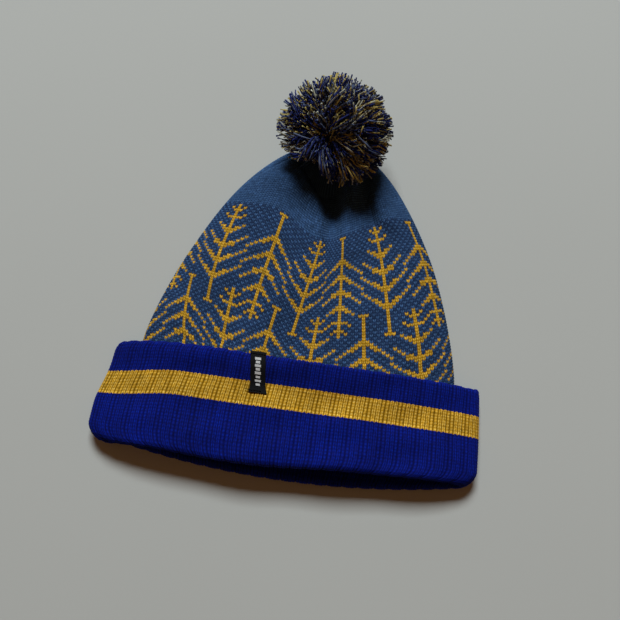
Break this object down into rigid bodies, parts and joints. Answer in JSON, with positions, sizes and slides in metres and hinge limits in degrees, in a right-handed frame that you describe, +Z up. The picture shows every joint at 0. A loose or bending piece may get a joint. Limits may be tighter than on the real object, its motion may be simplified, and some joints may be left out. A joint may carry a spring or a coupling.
{
  "type": "pom pom beanie",
  "caption": "Knitted beanie lying flat, with a ribbed fold-up cuff, a gold stripe, a jacquard crown drawn in at the top and a yarn pom on a short cord.",
  "frame": {"origin": "centre of the bounding box in X and Y, on the surface that the hat lies on", "axes": "+X across the hem to the right as the front is looked at, +Y from the hem to the pom, +Z up from the surface, out of the front layer"},
  "size_m": [0.2248, 0.246, 0.0689],
  "materials": {
    "royal_rib": "matt ribbed knit",
    "gold_yarn": "matt knit",
    "slate_knit": "matt jacquard knit with a gold motif",
    "navy_yarn": "loose two-ply yarn",
    "ivory_yarn": "loose two-ply yarn",
    "black_label": "close damask weave",
    "white_satin": "satin ribbon"
  },
  "bodies": {
    "hat": {"crown_shell": "slate_knit", "inner_band": "royal_rib", "cuff_lower_rib": "royal_rib", "cuff_gold_stripe": "gold_yarn", "cuff_upper_rib": "royal_rib", "link_seam": "royal_rib", "back_seam": "slate_knit", "front_dart_seam_left": "slate_knit", "front_dart_seam_right": "slate_knit", "back_dart_seam_left": "slate_knit", "back_dart_seam_right": "slate_knit", "gather_thread": "slate_knit", "woven_label": "black_label", "label_stitch_top": "black_label", "label_stitch_bottom": "black_label", "care_label_stitch": "royal_rib"},
    "care_tag": {"care_label": "white_satin"},
    "cord_anchor": {"closing_knot": "navy_yarn"},
    "cord": {"pom_cord": "navy_yarn", "tie_knot": "navy_yarn"},
    "pom": {"pom_tie": "navy_yarn", "pom_bundle_1_navy": "navy_yarn", "pom_bundle_2_gold": "gold_yarn", "pom_bundle_3_slate": "slate_knit", "pom_bundle_4_navy": "navy_yarn", "pom_bundle_5_ivory": "ivory_yarn", "pom_bundle_6_navy": "navy_yarn", "pom_bundle_7_gold": "gold_yarn", "pom_bundle_8_slate": "slate_knit"}
  },
  "joints": [
    {"name": "pom_tilt", "type": "hinge", "parent": "hat", "child": "cord_anchor", "pos_m": [0.0045, 0.0885, 0.008], "axis": [1, 0, 0], "range_deg": [-35, 0]},
    {"name": "pom_sway", "type": "hinge", "parent": "cord_anchor", "child": "cord", "pos_m": [0.0045, 0.0885, 0.008], "axis": [0, 0.9982, 0.0599], "range_deg": [-17, 17], "stiffness_Nm_per_rad": 0.03},
    {"name": "pom_twist", "type": "hinge", "parent": "cord", "child": "pom", "pos_m": [0.0045, 0.087, 0.033], "axis": [0, -0.0599, 0.9982], "range_deg": [-90, 90]},
    {"name": "care_label_lift", "type": "hinge", "parent": "hat", "child": "care_tag", "pos_m": [0.022, -0.083, 0.0062], "axis": [1, 0, 0], "range_deg": [-18, 0]}
  ]
}
